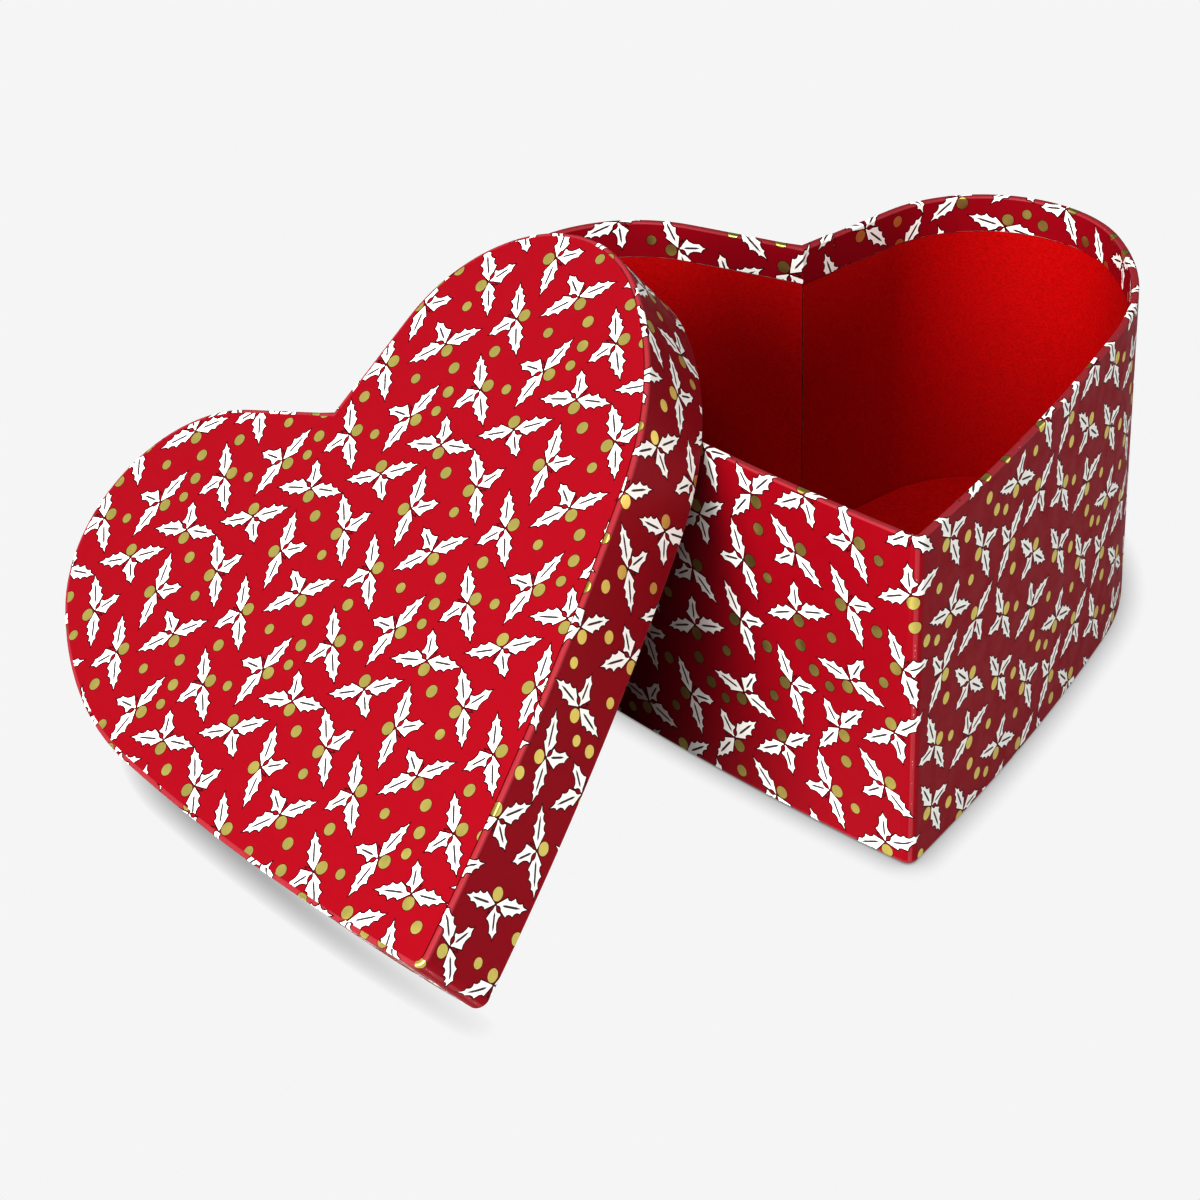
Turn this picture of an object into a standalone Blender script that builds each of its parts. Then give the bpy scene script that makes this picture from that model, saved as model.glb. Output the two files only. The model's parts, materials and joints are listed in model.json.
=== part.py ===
"""Heart-shaped rigid paperboard gift box: an open base standing on the table, and its lift-off lid,
which lies on its left flank and leans against the base's left lobe.

Metres, +Z up. The base's heart is symmetric about the YZ plane with its tip towards -Y, and the
origin is at the middle of its underside. The lid is modelled in its own frame, with its top face at
z = 0 and its open rim below, and an empty carries it to where it leans.
"""

import math

import bmesh
import bpy
from mathutils import Vector

MM = 0.001

# Base
BOX_WIDTH = 200 * MM
BOX_HEIGHT = 108 * MM

# Half of the heart, as tangent arcs from the tip up to the cleft
TIP_HALF_ANGLE = math.radians(41.1)
FLANK_RADIUS = 955 * MM
FLANK_TURN = math.radians(8.4)
SHOULDER_RADIUS = 101 * MM
SHOULDER_TURN = math.radians(38.5)
LOBE_RADIUS = 43.6 * MM
LOBE_TURN = math.radians(118.0)
TIP_RADIUS = 3.0 * MM
LID_TIP_RADIUS = 4.0 * MM
ARC_STEPS = {"tip": 3, "flank": 6, "shoulder": 6, "lobe": 14}

# Paper and board
PAPER = 0.25 * MM
BOARD = 1.3 * MM
GLUE_GAP = 0.2 * MM
STAY_GAP = 0.35 * MM
FOLD_RADIUS = 0.7 * MM
FOLD_STEPS = 2
TURN_IN = 12 * MM
TURN_UNDER = 11 * MM
SLIT = 0.3 * MM
RIM_GAP = 0.3 * MM

# Layers of a wall, as depths below its outer face
BOARD_OUTER = PAPER + STAY_GAP
BOARD_INNER = BOARD_OUTER + BOARD
LINING_OUTER = BOARD_INNER + GLUE_GAP
WALL = LINING_OUTER + PAPER

# Base floor, from the table up
FLOOR_BOARD = 1.9 * MM
PAD_BOARD = 1.6 * MM
UNDERSIDE_INSET = 3.0 * MM
LOOSE_FIT = 0.4 * MM
MARGIN_HEIGHT = PAPER + GLUE_GAP
BOARD_HEIGHT = MARGIN_HEIGHT + PAPER + GLUE_GAP
PAD_HEIGHT = BOARD_HEIGHT + FLOOR_BOARD + GLUE_GAP
COVER_HEIGHT = PAD_HEIGHT + PAD_BOARD + GLUE_GAP

# Lid
LID_CLEARANCE = 1.6 * MM
LID_GROWTH = LID_CLEARANCE + WALL
LID_DEPTH = 30 * MM
LID_TOP_BOARD = 1.6 * MM
LID_MARGIN = 10 * MM
TOP_SHEET_INSET = 1.5 * MM
LID_LEAN = [math.radians(angle) for angle in (24.0, -32.0, -10.9)]
LID_PLACE = (-148.6 * MM, -67.6 * MM)
TABLE_GAP = 0.3 * MM

# Stay tape over the butt joint of a wall board. It reaches this many outline points each side of
# the cleft, and stops short of the board's edges.
STAY_TAPE = 0.15 * MM
STAY_DEPTH = PAPER + (STAY_GAP - STAY_TAPE) / 2
STAY_POINTS = 1
STAY_SHORT = 1 * MM

SHARP_ANGLE = math.radians(30)


def clear_scene():
    for thing in list(bpy.data.objects):
        bpy.data.objects.remove(thing, do_unlink=True)


def paper_or_board(name, colour, roughness, metallic=0.0):
    made = bpy.data.materials.new(name)
    made.use_nodes = True
    shader = made.node_tree.nodes["Principled BSDF"]
    shader.inputs["Base Color"].default_value = (*colour, 1.0)
    shader.inputs["Roughness"].default_value = roughness
    shader.inputs["Metallic"].default_value = metallic
    made.diffuse_color = (*colour, 1.0)
    return made


def direction(angle):
    return Vector((math.cos(angle), math.sin(angle)))


class Heart:
    """A heart outline, as the vertices of its right half from the tip to the lobe's end, each with
    its outward normal. It is the base's outline grown by `growth`, its tip rounded to `tip_radius`.
    """

    def __init__(self, growth, tip_radius):
        flank_end = FLANK_TURN - TIP_HALF_ANGLE
        shoulder_end = flank_end + SHOULDER_TURN
        lobe_end = shoulder_end + LOBE_TURN
        flank = -FLANK_RADIUS * direction(-TIP_HALF_ANGLE)
        shoulder = flank + (FLANK_RADIUS - SHOULDER_RADIUS) * direction(flank_end)
        lobe = shoulder + (SHOULDER_RADIUS - LOBE_RADIUS) * direction(shoulder_end)

        # The widest point is on the shoulder. Scaling it to the box's width moves the rest with it.
        share = BOX_WIDTH / 2 / (shoulder.x + SHOULDER_RADIUS)
        base_tip = flank.y - math.sqrt((FLANK_RADIUS - TIP_RADIUS) ** 2 - flank.x**2) - TIP_RADIUS
        middle = Vector((0, (lobe.y + LOBE_RADIUS + base_tip) / 2))
        flank, shoulder, lobe = ((centre - middle) * share for centre in (flank, shoulder, lobe))

        # The tip's arc touches both flanks, so its centre is on the axis.
        flank_radius = FLANK_RADIUS * share + growth
        rise = math.sqrt((flank_radius - tip_radius) ** 2 - flank.x**2)
        tip = Vector((0, flank.y - rise))
        arcs = (
            ("tip", tip, tip_radius, math.atan2(-rise, -flank.x)),
            ("flank", flank, flank_radius, flank_end),
            ("shoulder", shoulder, SHOULDER_RADIUS * share + growth, shoulder_end),
            ("lobe", lobe, LOBE_RADIUS * share + growth, lobe_end),
        )
        angle = -math.pi / 2
        self.points = [tip + tip_radius * direction(angle)]
        self.normals = [direction(angle)]
        for name, centre, radius, end in arcs:
            step = (end - angle) / ARC_STEPS[name]
            for _ in range(ARC_STEPS[name]):
                angle += step
                self.points.append(centre + radius * direction(angle))
                self.normals.append(direction(angle))

    def half(self, depth, gap):
        """The right half, moved in by `depth`. Close to the axis a vertex stops short of it, as a
        folded margin is mitred. The last point is on the cleft, `gap` away from the axis."""
        found = []
        for point, normal in zip(self.points, self.normals):
            room = (point.x - SLIT / 2) / normal.x if normal.x > 0 and point.x > 0 else math.inf
            found.append(point - min(depth, room) * normal)
        # The tip itself is on the axis, and moves in as far as its neighbours do.
        first_room = (self.points[1].x - SLIT / 2) / self.normals[1].x
        found[0] = self.points[0] - min(depth, first_room) * self.normals[0]
        along = Vector((-normal.y, normal.x))
        found.append(found[-1] + along * ((gap - found[-1].x) / along.x))
        return found

    def loop(self, depth, gap=0.0):
        """The whole outline, from the cleft down the right side and up the left. It closes at the
        cleft, or is left open there by twice the gap."""
        right = self.half(depth, gap)
        left = [Vector((-point.x, point.y)) for point in right]
        whole = right[::-1] + left[1:]
        return whole if gap else whole[:-1]


def place(thing, parts, parent, material):
    thing.data.materials.append(material)
    thing.parent = parent
    parts.objects.link(thing)
    return thing


def swept_sheet(name, heart, section, gap=0.0, reach=None):
    """A closed section of (depth, height) points carried round a heart. With a gap it ends in two
    flat ends at the cleft. With a reach it covers only that many vertices each side of the cleft."""
    rings = [[(p.x, p.y, height) for p in heart.loop(depth, gap)] for depth, height in section]
    stations = list(zip(*rings))
    if reach:
        stations = stations[-reach:] + stations[: reach + 1]
    mesh = bpy.data.meshes.new(name)
    shape = bmesh.new()
    rows = [[shape.verts.new(point) for point in station] for station in stations]
    open_ended = gap or reach
    pairs = list(zip(rows, rows[1:] if open_ended else rows[1:] + rows[:1]))
    for row, other in pairs:
        for i in range(len(section)):
            j = (i + 1) % len(section)
            shape.faces.new((row[i], row[j], other[j], other[i]))
    if open_ended:
        shape.faces.new(rows[0][::-1])
        shape.faces.new(rows[-1])
    bmesh.ops.recalc_face_normals(shape, faces=shape.faces)
    shape.to_mesh(mesh)
    shape.free()
    mesh.set_sharp_from_angle(angle=SHARP_ANGLE)
    return bpy.data.objects.new(name, mesh)


def heart_plate(name, heart, depth, bottom, thickness):
    """A flat heart, as a filled 2D curve with an extrusion."""
    curve = bpy.data.curves.new(name, "CURVE")
    curve.dimensions = "2D"
    curve.fill_mode = "BOTH"
    curve.extrude = thickness / 2
    outline = heart.loop(depth)
    spline = curve.splines.new("POLY")
    spline.points.add(len(outline) - 1)
    for point, corner in zip(spline.points, outline):
        point.co = (corner.x, corner.y, 0, 1)
    spline.use_cyclic_u = True
    plate = bpy.data.objects.new(name, curve)
    plate.location.z = bottom + thickness / 2
    return plate


def fold(depth, height, start_degrees, radius):
    """Points of a quarter-turn fold, counted anticlockwise in the (outward, up) plane."""
    found = []
    for step in range(FOLD_STEPS + 1):
        angle = math.radians(start_degrees + 90 * step / FOLD_STEPS)
        found.append((depth - radius * math.cos(angle), height + radius * math.sin(angle)))
    return found


def wrap_section(bottom, top, lower_margin, turn_in):
    """Paper from a margin under the wall, up its outside, over the rim at `top` and down inside."""
    faces = []
    for radius in (FOLD_RADIUS, FOLD_RADIUS - PAPER):
        inset = FOLD_RADIUS - radius
        line = [(lower_margin, bottom + inset)]
        line += fold(FOLD_RADIUS, bottom + FOLD_RADIUS, -90, radius)
        line += fold(FOLD_RADIUS, top - FOLD_RADIUS, 0, radius)
        line += fold(WALL - FOLD_RADIUS, top - FOLD_RADIUS, 90, radius)
        line += [(WALL - inset, top - turn_in)]
        faces.append(line)
    outside, inside = faces
    return outside + inside[::-1]


def box_section(outer, inner, bottom, top):
    return [(outer, bottom), (outer, top), (inner, top), (inner, bottom)]


def flipped(section):
    return [(depth, -height) for depth, height in section]


def build_base(parts, looks):
    heart = Heart(0, TIP_RADIUS)
    board_top = BOX_HEIGHT - PAPER - RIM_GAP
    lining_top = BOX_HEIGHT - TURN_IN - SLIT
    gap = SLIT / 2

    wrap = wrap_section(MARGIN_HEIGHT, BOX_HEIGHT, TURN_UNDER, TURN_IN)
    place(swept_sheet("base_wrap", heart, wrap), parts, None, looks["printed"])
    wall = box_section(BOARD_OUTER, BOARD_INNER, BOARD_HEIGHT, board_top)
    place(swept_sheet("base_wall_board", heart, wall, gap), parts, None, looks["board"])
    low, high = BOARD_HEIGHT + STAY_SHORT, board_top - STAY_SHORT
    tape = box_section(STAY_DEPTH, STAY_DEPTH + STAY_TAPE, low, high)
    stay = swept_sheet("base_cleft_stay", heart, tape, reach=STAY_POINTS)
    place(stay, parts, None, looks["tape"])
    lining = box_section(LINING_OUTER, WALL, PAD_HEIGHT, lining_top)
    place(swept_sheet("base_wall_lining", heart, lining, gap), parts, None, looks["lining"])

    pad_depth = WALL + LOOSE_FIT
    plates = (
        ("base_underside_sheet", UNDERSIDE_INSET, 0, PAPER, "lining"),
        ("base_floor_board", LINING_OUTER, BOARD_HEIGHT, FLOOR_BOARD, "board"),
        ("base_floor_pad", pad_depth, PAD_HEIGHT, PAD_BOARD, "board"),
        ("base_floor_cover", pad_depth, COVER_HEIGHT, PAPER, "lining"),
    )
    for name, depth, bottom, thickness, look in plates:
        place(heart_plate(name, heart, depth, bottom, thickness), parts, None, looks[look])


def build_lid(parts, looks):
    """The lid is made with its top face at z = 0, then leaned over and set down on the table."""
    heart = Heart(LID_GROWTH, LID_TIP_RADIUS)
    carrier = bpy.data.objects.new("lid_carrier", None)
    carrier.rotation_euler = LID_LEAN
    parts.objects.link(carrier)
    board_rim = LID_DEPTH - PAPER - RIM_GAP
    lining_end = LID_DEPTH - TURN_IN - SLIT
    gap = SLIT / 2

    wrap = flipped(wrap_section(MARGIN_HEIGHT, LID_DEPTH, LID_MARGIN, TURN_IN))
    place(swept_sheet("lid_side_wrap", heart, wrap), parts, carrier, looks["printed"])
    wall = flipped(box_section(BOARD_OUTER, BOARD_INNER, BOARD_HEIGHT, board_rim))
    place(swept_sheet("lid_wall_board", heart, wall, gap), parts, carrier, looks["board"])
    low, high = BOARD_HEIGHT + STAY_SHORT, board_rim - STAY_SHORT
    tape = flipped(box_section(STAY_DEPTH, STAY_DEPTH + STAY_TAPE, low, high))
    stay = swept_sheet("lid_cleft_stay", heart, tape, reach=STAY_POINTS)
    place(stay, parts, carrier, looks["tape"])
    lining_start = BOARD_HEIGHT + LID_TOP_BOARD + GLUE_GAP
    lining = flipped(box_section(LINING_OUTER, WALL, lining_start, lining_end))
    place(swept_sheet("lid_wall_lining", heart, lining, gap), parts, carrier, looks["lining"])

    plates = (
        ("lid_top_sheet", TOP_SHEET_INSET, 0, PAPER, "printed"),
        ("lid_top_board", LINING_OUTER, BOARD_HEIGHT, LID_TOP_BOARD, "board"),
        ("lid_top_lining", WALL + LOOSE_FIT, lining_start, PAPER, "lining"),
    )
    for name, depth, top, thickness, look in plates:
        plate = heart_plate(name, heart, depth, -top - thickness, thickness)
        place(plate, parts, carrier, looks[look])

    rim = [Vector((p.x, p.y, -LID_DEPTH)) for p in heart.loop(0)]
    lean = carrier.rotation_euler.to_matrix()
    lowest = min((lean @ corner).z for corner in rim)
    carrier.location = (*LID_PLACE, TABLE_GAP - lowest)


def main():
    clear_scene()
    parts = bpy.data.collections.new("heart_gift_box")
    bpy.context.scene.collection.children.link(parts)
    looks = {
        "printed": paper_or_board("printed_paper", (0.58, 0.01, 0.02), 0.42),
        "lining": paper_or_board("red_lining_paper", (0.36, 0.0, 0.0), 0.75),
        "board": paper_or_board("grey_board", (0.42, 0.39, 0.34), 0.9),
        "tape": paper_or_board("gummed_paper_tape", (0.48, 0.36, 0.22), 0.8),
    }
    build_base(parts, looks)
    build_lid(parts, looks)


main()
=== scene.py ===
"""The looks of the heart-shaped gift box and its leaning lid: printed wrapping paper over the walls,
plain red paper inside, grey board between, and a pale studio round them.

Every sheet of paper is drawn flat, in its own u and v in millimetres, with its print as real outlines,
and is then folded round the heart in metres, in the frame's own axes.
"""

import json
import math
import random

import bpy
import numpy as np
from mathutils import Euler, Matrix, Vector
from mathutils.geometry import delaunay_2d_cdt


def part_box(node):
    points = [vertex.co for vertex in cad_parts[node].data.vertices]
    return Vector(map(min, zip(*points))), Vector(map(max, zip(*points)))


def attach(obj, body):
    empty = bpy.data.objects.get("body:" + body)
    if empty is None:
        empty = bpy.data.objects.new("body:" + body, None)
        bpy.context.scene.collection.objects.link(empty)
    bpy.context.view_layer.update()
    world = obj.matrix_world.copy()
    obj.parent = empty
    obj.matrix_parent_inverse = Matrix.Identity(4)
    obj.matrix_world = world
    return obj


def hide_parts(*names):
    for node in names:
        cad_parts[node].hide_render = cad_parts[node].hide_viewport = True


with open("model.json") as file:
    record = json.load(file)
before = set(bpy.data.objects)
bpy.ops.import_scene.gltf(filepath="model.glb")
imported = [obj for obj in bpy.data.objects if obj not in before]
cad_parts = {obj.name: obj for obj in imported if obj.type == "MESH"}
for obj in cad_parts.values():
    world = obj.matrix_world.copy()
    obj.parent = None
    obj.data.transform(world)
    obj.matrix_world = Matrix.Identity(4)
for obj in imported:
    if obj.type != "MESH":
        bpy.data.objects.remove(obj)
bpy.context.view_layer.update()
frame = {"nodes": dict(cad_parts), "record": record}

MM = 0.001

# The heart's right half, as tangent arcs from the tip to the lobe, for a heart WIDTH wide
WIDTH = round((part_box("base_wrap")[1].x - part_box("base_wrap")[0].x) / MM, 2)
HEIGHT = round(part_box("base_wrap")[1].z / MM, 2)
TIP_HALF_ANGLE = math.radians(41.1)
FLANK_RADIUS = 955
FLANK_TURN = math.radians(8.4)
SHOULDER_RADIUS = 101
SHOULDER_TURN = math.radians(38.5)
LOBE_RADIUS = 43.6
LOBE_TURN = math.radians(118.0)
BASE_TIP_RADIUS = 3.0
LID_TIP_RADIUS = 4.0
ARC_STEPS = {"tip": 6, "flank": 26, "shoulder": 16, "lobe": 36}
STRAIGHT_STEPS = 6
CREASE_STEPS = 4

# Papers and walls, as the CAD has them. SLIT is the gap where two edges of paper meet.
PAPER = 0.25
SLIT = 0.3
WALL = 2.35
FOLD_RADIUS = 0.7
FOLD_STEPS = 5
MARGIN_HEIGHT = 0.45
TURN_UNDER = 11
TURN_IN = 12
UNDERSIDE_INSET = 3
LID_GROWTH = 1.6 + WALL
LID_DEPTH = 30
LID_MARGIN = 10
TOP_SHEET_INSET = 1.5
LOOSE_FIT = 0.4
BASE_PAD_HEIGHT = 3.0
BASE_FLOOR_HEIGHT = 5.05
LID_LINING_HEIGHT = 2.7
LINING_CREASE = 1.0
LINING_BUTT = 0.02

# The seam of a wrap, a lap past the cleft, and the snipped flaps of its turned-in margin
LAP = 9
LAP_RUN_UP = 4
LAP_LIFT = 0.27
SHEET_THICKNESS = 0.2
FLAPS = 7
FLAP_LENGTH = 13.5
FLAP_LIFT = 0.24
FLAP_START = 2.0
SNIP = 0.06

# The rows of a wrap's section where its three folds begin and end: at the bottom, and the outer and
# the inner one of the rim
BOTTOM_FOLD = (1, 1 + FOLD_STEPS)
OUTER_FOLD = (2 + FOLD_STEPS, 2 + 2 * FOLD_STEPS)
INNER_FOLD = (3 + 2 * FOLD_STEPS, 3 + 3 * FOLD_STEPS)

# Painted highlight and wear on the wraps: the paler bands over the folds are painted highlight, and
# the white chips along these rows are wear
HIGHLIGHT_WIDTH = 0.9
HIGHLIGHT_TIP_WIDTH = HIGHLIGHT_WIDTH * 0.7
WORN_ROWS = (BOTTOM_FOLD[0] + 2, OUTER_FOLD[0] + 3, INNER_FOLD[0] + 2)
WORN_EDGE_INSET = 0.2
BASE_FLECKS = 70
LID_FLECKS = 50
FLECK_LENGTH = 0.7
FLECK_WIDTH = 0.22

# How the print is turned and moved on each sheet
BASE_PRINT = {"angle": math.radians(-28), "origin": (7, 3)}
LID_PRINT = {"angle": math.radians(35), "origin": (-9, 5)}
TOP_PRINT = {"angle": math.radians(-13), "origin": (4, -6)}

# How many lines a flat heart's mesh is cut along, and how far up and down its print is laid, as a
# share of its half width
HEART_BORDERS = 42
HEART_REACH = 1.2

PRINT_SEED = 4
BASE_WEAR_SEED = 11
LID_WEAR_SEED = 23

LID_LEAN = [math.radians(angle) for angle in (24.0, -32.0, -10.9)]

LOOKS = (
    "red_print",
    "outline_print",
    "leaf_print",
    "rib_print",
    "gold_foil",
    "worn_edge",
    "painted_fold_highlight",
    "paper_back",
)
GROUND, OUTLINE, LEAF, RIB, GOLD, WORN, FOLD_HIGHLIGHT, BACK = range(len(LOOKS))


# ---------------------------------------------------------------- the heart's edge


def direction(angle):
    return np.array((math.cos(angle), math.sin(angle)))


class Edge:
    """Stations along a heart's edge, from the cleft down the right side and up the left. At each one
    are its distance u, its place, the way out, how it moves for each mm of depth, how far it can, and
    how much a lap or a flap lifts it."""

    def __init__(self, growth, tip_radius, lap=0.0, flaps=False, crease=0.0):
        right = self.right_half(growth, tip_radius, crease)
        left = [(p * (-1, 1), n * (-1, 1), q * (-1, 1), room) for p, n, q, room in right[::-1]]
        whole = right + left[1:]
        self.place, self.out, self.inward = (np.array([s[k] for s in whole]) for k in range(3))
        self.room = np.array([s[3] for s in whole])
        steps = np.linalg.norm(np.diff(self.place, axis=0), axis=1)
        self.u = np.concatenate(([0.0], np.cumsum(steps)))
        self.length = self.u[-1]
        self.tip_u = self.length / 2
        self.lift = np.zeros(len(self.u))
        self.flap = np.zeros(len(self.u))
        if lap:
            self.add_lap(lap)
        if flaps:
            self.add_flaps()

    def right_half(self, growth, tip_radius, crease):
        """The right side's stations, from the cleft to the tip, with the heart `growth` mm larger."""
        flank_end = FLANK_TURN - TIP_HALF_ANGLE
        shoulder_end = flank_end + SHOULDER_TURN
        lobe_end = shoulder_end + LOBE_TURN
        flank = -FLANK_RADIUS * direction(-TIP_HALF_ANGLE)
        shoulder = flank + (FLANK_RADIUS - SHOULDER_RADIUS) * direction(flank_end)
        lobe = shoulder + (SHOULDER_RADIUS - LOBE_RADIUS) * direction(shoulder_end)
        scale = WIDTH / 2 / (shoulder[0] + SHOULDER_RADIUS)
        reach = math.sqrt((FLANK_RADIUS - BASE_TIP_RADIUS) ** 2 - flank[0] ** 2)
        base_tip = flank[1] - reach - BASE_TIP_RADIUS
        middle = np.array((0, (lobe[1] + LOBE_RADIUS + base_tip) / 2))
        flank, shoulder, lobe = ((centre - middle) * scale for centre in (flank, shoulder, lobe))
        flank_radius = FLANK_RADIUS * scale + growth
        rise = math.sqrt((flank_radius - tip_radius) ** 2 - flank[0] ** 2)
        tip = np.array((0, flank[1] - rise))
        arcs = (
            ("tip", tip, tip_radius, math.atan2(-rise, -flank[0])),
            ("flank", flank, flank_radius, flank_end),
            ("shoulder", shoulder, SHOULDER_RADIUS * scale + growth, shoulder_end),
            ("lobe", lobe, LOBE_RADIUS * scale + growth, lobe_end),
        )
        angle = -math.pi / 2
        found = [(tip + tip_radius * direction(angle), direction(angle))]
        for name, centre, radius, end in arcs:
            step = (end - angle) / ARC_STEPS[name]
            for _ in range(ARC_STEPS[name]):
                angle += step
                found.append((centre + radius * direction(angle), direction(angle)))

        def room(place, out):
            # A margin folded inwards is mitred on the axis.
            return (place[0] - SLIT / 2) / out[0] if out[0] > 0 else math.inf

        stations = [(place, out, out, room(place, out)) for place, out in found[1:]]
        stations.insert(0, (*found[0], found[0][1], stations[0][3]))

        # The straight stretch from the lobe to the cleft, where depth also moves the mitre along it
        place, out = found[-1]
        along = np.array((-out[1], out[0]))
        cleft = place + along * (-place[0] / along[0])
        mitre = np.array((0, 1 / out[1]))
        last_step = STRAIGHT_STEPS - 1 if crease else STRAIGHT_STEPS
        for step in range(1, last_step + 1):
            share = step / STRAIGHT_STEPS
            inward = out + (mitre - out) * share
            stations.append((place + (cleft - place) * share, out, inward, math.inf))

        # A lining is creased over the wall's corner there, round a centre inside the wall.
        centre = cleft - WALL * mitre + crease * mitre
        start = math.atan2(out[1], out[0])
        crease_stations = CREASE_STEPS + 1 if crease else 0
        for step in range(crease_stations):
            way = direction(start + (math.pi / 2 - start) * step / CREASE_STEPS)
            stations.append((centre + (WALL - crease) * way, way, way, math.inf))
        return stations[::-1]

    def add_lap(self, lap):
        """The strip's end runs on past the cleft, over its own beginning."""
        self.lift = LAP_LIFT * np.clip((self.u - self.length + LAP_RUN_UP) / LAP_RUN_UP, 0, 1)
        count = int(np.searchsorted(self.u, lap)) + 1
        self.u = np.concatenate((self.u, self.length + self.u[:count] + SNIP))
        for name in ("place", "out", "inward", "room"):
            values = getattr(self, name)
            setattr(self, name, np.concatenate((values, values[:count])))
        self.lift = np.concatenate((self.lift, np.full(count, LAP_LIFT)))
        self.flap = np.zeros(len(self.u))

    def add_flaps(self):
        """Snips the turned-in margin on both lobes. Each flap rises to its end, over the next one."""
        ends = []
        for middle in (self.lobe_u(), self.length - self.lobe_u()):
            for number in range(FLAPS):
                before = middle + FLAP_LENGTH * (number - FLAPS / 2)
                after = before + FLAP_LENGTH
                within = (self.u > before) & (self.u < after)
                self.flap[within] = FLAP_LIFT * (self.u[within] - before) / FLAP_LENGTH
                ends.append(after)
        for end in ends:
            self.insert(end - SNIP / 2, FLAP_LIFT)
            self.insert(end + SNIP / 2, 0.0)

    def lobe_u(self):
        """Where the lobe's arc is half way round, on the right side."""
        return (self.u[STRAIGHT_STEPS] + self.u[STRAIGHT_STEPS + ARC_STEPS["lobe"]]) / 2

    def insert(self, u, flap):
        """Adds a station at u, between its neighbours."""
        at = int(np.searchsorted(self.u, u))
        share = (u - self.u[at - 1]) / (self.u[at] - self.u[at - 1])
        for name in ("place", "out", "inward", "room", "lift"):
            values = getattr(self, name)
            if name == "room":
                # It may be endless, so there is no share of it to take.
                between = min(values[at - 1], values[at])
            else:
                between = values[at - 1] + (values[at] - values[at - 1]) * share
            setattr(self, name, np.insert(values, at, between, axis=0))
        self.flap = np.insert(self.flap, at, flap)
        self.u = np.insert(self.u, at, u)

    def loop(self, depth):
        """The closed outline at this depth, anticlockwise, for a flat sheet."""
        count = int(np.argmin(np.abs(self.u - self.length)))
        moved = self.place - np.minimum(depth, self.room)[:, None] * self.inward
        return moved[:count][::-1]


# ---------------------------------------------------------------- flat sheets


# What the triangulation is asked for: every triangle of a strip, with points this close made one
ALL_TRIANGLES = 0
MERGE_DISTANCE = 1e-5


def crossing_points(edges, points, borders):
    """Splits every edge where it crosses a strip's border, so that both strips hold the same point."""
    found = []
    for a, b in edges:
        (ua, va), (ub, vb) = points[a], points[b]
        low, high = sorted((ua, ub))
        crossed = [u for u in borders if low < u < high]
        if ub < ua:
            crossed.reverse()
        before = a
        for u in crossed:
            points.append((u, va + (vb - va) * (u - ua) / (ub - ua)))
            found.append((before, len(points) - 1))
            before = len(points) - 1
        found.append((before, b))
    return found


def inside(polygon, places):
    """Which of the places are inside the polygon, by counting crossings."""
    x1, y1 = polygon.T[:, :, None]
    x2, y2 = np.roll(polygon, -1, axis=0).T[:, :, None]
    x, y = places.T
    straddles = (y1 > y) != (y2 > y)
    with np.errstate(divide="ignore", invalid="ignore"):
        left = x < x1 + (x2 - x1) * (y - y1) / (y2 - y1)
    return (np.count_nonzero(straddles & left, axis=0) % 2).astype(bool)


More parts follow.
